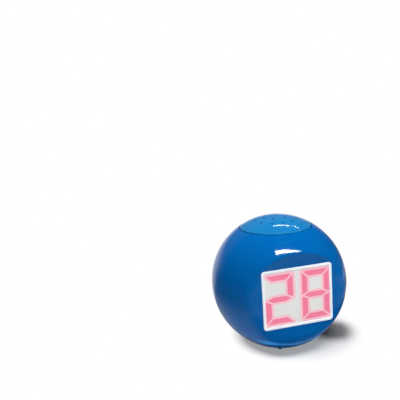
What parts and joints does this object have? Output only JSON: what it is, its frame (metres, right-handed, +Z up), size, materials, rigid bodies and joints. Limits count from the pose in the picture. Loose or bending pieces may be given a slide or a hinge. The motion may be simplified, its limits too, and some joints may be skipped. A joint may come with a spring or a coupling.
{
  "type": "electronic bingo game",
  "caption": "Ball-shaped electronic number caller with a two-digit light display, a push cap on top and a keypad on the back.",
  "frame": {"origin": "on the table under the middle of the ball's width and of its depth from the display's front to the tip of the brow", "axes": "+Z up towards the push cap, -Y out of the display, +Y out of the keypad, +X to the right as the display is read"},
  "size_m": [0.13, 0.0936, 0.1265],
  "materials": {
    "blue_shell": "gloss",
    "blue_cap": "gloss",
    "white_plastic": "satin",
    "black_plastic": "satin",
    "steel": "zinc plated",
    "cone_paper": "pressed paper",
    "magnet": "painted",
    "window": "satin, printed border",
    "mask": "matte",
    "light_guide": "milky",
    "circuit_board": "satin",
    "keypad_rubber": "matte",
    "keys": "satin",
    "battery": "satin",
    "contacts": "nickel plated",
    "foot_rubber": "matte"
  },
  "bodies": {
    "case": {"front_shell": "blue_shell", "rear_shell": "blue_shell", "base_tray": "blue_shell", "button_collar": "white_plastic", "button_spring": "steel", "top_switch": "black_plastic", "speaker_frame": "steel", "speaker_cone": "cone_paper", "speaker_magnet": "magnet", "display_window": "window", "segment_mask": "mask", "light_guide_left": "light_guide", "light_guide_right": "light_guide", "reflector_box": "white_plastic", "led_board": "circuit_board", "board_screw_1": "steel", "board_screw_2": "steel", "board_screw_3": "steel", "board_screw_4": "steel", "keypad_mat": "keypad_rubber", "main_board": "circuit_board", "battery_1": "battery", "battery_2": "battery", "battery_3": "battery", "contact_bridge_low": "contacts", "contact_low": "contacts", "contact_high": "contacts", "contact_bridge_high": "contacts", "case_screw_1": "steel", "case_screw_2": "steel", "case_screw_3": "steel", "case_screw_4": "steel", "foot_1": "foot_rubber", "foot_2": "foot_rubber", "foot_3": "foot_rubber", "foot_4": "foot_rubber"},
    "push_cap": {"top_button": "blue_cap"},
    "bay_door": {"battery_door": "blue_shell", "door_screw": "steel"},
    "key_0": {"key_0": "keys"},
    "key_1": {"key_1": "keys"},
    "key_2": {"key_2": "keys"},
    "key_3": {"key_3": "keys"},
    "key_4": {"key_4": "keys"},
    "key_5": {"key_5": "keys"},
    "key_6": {"key_6": "keys"},
    "key_7": {"key_7": "keys"},
    "key_8": {"key_8": "keys"},
    "key_9": {"key_9": "keys"},
    "key_wide": {"key_wide": "keys"},
    "key_left_1": {"key_left_1": "keys"},
    "key_left_2": {"key_left_2": "keys"},
    "key_left_3": {"key_left_3": "keys"},
    "key_left_4": {"key_left_4": "keys"},
    "key_right_1": {"key_right_1": "keys"},
    "key_right_2": {"key_right_2": "keys"},
    "key_right_3": {"key_right_3": "keys"},
    "key_right_4": {"key_right_4": "keys"}
  },
  "joints": [
    {"name": "push_cap_press", "type": "slide", "parent": "case", "child": "push_cap", "axis": [0, 0, -1], "range_m": [0, 0.002], "stiffness_N_per_m": 400, "springref_m": -0.003, "deforming": ["button_spring"]},
    {"name": "bay_door_swing", "type": "hinge", "parent": "case", "child": "bay_door", "pos_m": [-0.0267, 0.00106, 0.0015], "axis": [0, 1, 0], "range_deg": [0, 70]},
    {"name": "key_0_press", "type": "slide", "parent": "case", "child": "key_0", "axis": [0, -1, 0], "range_m": [0, 0.001], "stiffness_N_per_m": 300, "springref_m": -0.002},
    {"name": "key_1_press", "type": "slide", "parent": "case", "child": "key_1", "axis": [0, -1, 0], "range_m": [0, 0.001], "stiffness_N_per_m": 300, "springref_m": -0.002},
    {"name": "key_2_press", "type": "slide", "parent": "case", "child": "key_2", "axis": [0, -1, 0], "range_m": [0, 0.001], "stiffness_N_per_m": 300, "springref_m": -0.002},
    {"name": "key_3_press", "type": "slide", "parent": "case", "child": "key_3", "axis": [0, -1, 0], "range_m": [0, 0.001], "stiffness_N_per_m": 300, "springref_m": -0.002},
    {"name": "key_4_press", "type": "slide", "parent": "case", "child": "key_4", "axis": [0, -1, 0], "range_m": [0, 0.001], "stiffness_N_per_m": 300, "springref_m": -0.002},
    {"name": "key_5_press", "type": "slide", "parent": "case", "child": "key_5", "axis": [0, -1, 0], "range_m": [0, 0.001], "stiffness_N_per_m": 300, "springref_m": -0.002},
    {"name": "key_6_press", "type": "slide", "parent": "case", "child": "key_6", "axis": [0, -1, 0], "range_m": [0, 0.001], "stiffness_N_per_m": 300, "springref_m": -0.002},
    {"name": "key_7_press", "type": "slide", "parent": "case", "child": "key_7", "axis": [0, -1, 0], "range_m": [0, 0.001], "stiffness_N_per_m": 300, "springref_m": -0.002},
    {"name": "key_8_press", "type": "slide", "parent": "case", "child": "key_8", "axis": [0, -1, 0], "range_m": [0, 0.001], "stiffness_N_per_m": 300, "springref_m": -0.002},
    {"name": "key_9_press", "type": "slide", "parent": "case", "child": "key_9", "axis": [0, -1, 0], "range_m": [0, 0.001], "stiffness_N_per_m": 300, "springref_m": -0.002},
    {"name": "key_wide_press", "type": "slide", "parent": "case", "child": "key_wide", "axis": [0, -1, 0], "range_m": [0, 0.001], "stiffness_N_per_m": 300, "springref_m": -0.002},
    {"name": "key_left_1_press", "type": "slide", "parent": "case", "child": "key_left_1", "axis": [0, -1, 0], "range_m": [0, 0.001], "stiffness_N_per_m": 300, "springref_m": -0.002},
    {"name": "key_left_2_press", "type": "slide", "parent": "case", "child": "key_left_2", "axis": [0, -1, 0], "range_m": [0, 0.001], "stiffness_N_per_m": 300, "springref_m": -0.002},
    {"name": "key_left_3_press", "type": "slide", "parent": "case", "child": "key_left_3", "axis": [0, -1, 0], "range_m": [0, 0.001], "stiffness_N_per_m": 300, "springref_m": -0.002},
    {"name": "key_left_4_press", "type": "slide", "parent": "case", "child": "key_left_4", "axis": [0, -1, 0], "range_m": [0, 0.001], "stiffness_N_per_m": 300, "springref_m": -0.002},
    {"name": "key_right_1_press", "type": "slide", "parent": "case", "child": "key_right_1", "axis": [0, -1, 0], "range_m": [0, 0.001], "stiffness_N_per_m": 300, "springref_m": -0.002},
    {"name": "key_right_2_press", "type": "slide", "parent": "case", "child": "key_right_2", "axis": [0, -1, 0], "range_m": [0, 0.001], "stiffness_N_per_m": 300, "springref_m": -0.002},
    {"name": "key_right_3_press", "type": "slide", "parent": "case", "child": "key_right_3", "axis": [0, -1, 0], "range_m": [0, 0.001], "stiffness_N_per_m": 300, "springref_m": -0.002},
    {"name": "key_right_4_press", "type": "slide", "parent": "case", "child": "key_right_4", "axis": [0, -1, 0], "range_m": [0, 0.001], "stiffness_N_per_m": 300, "springref_m": -0.002}
  ]
}
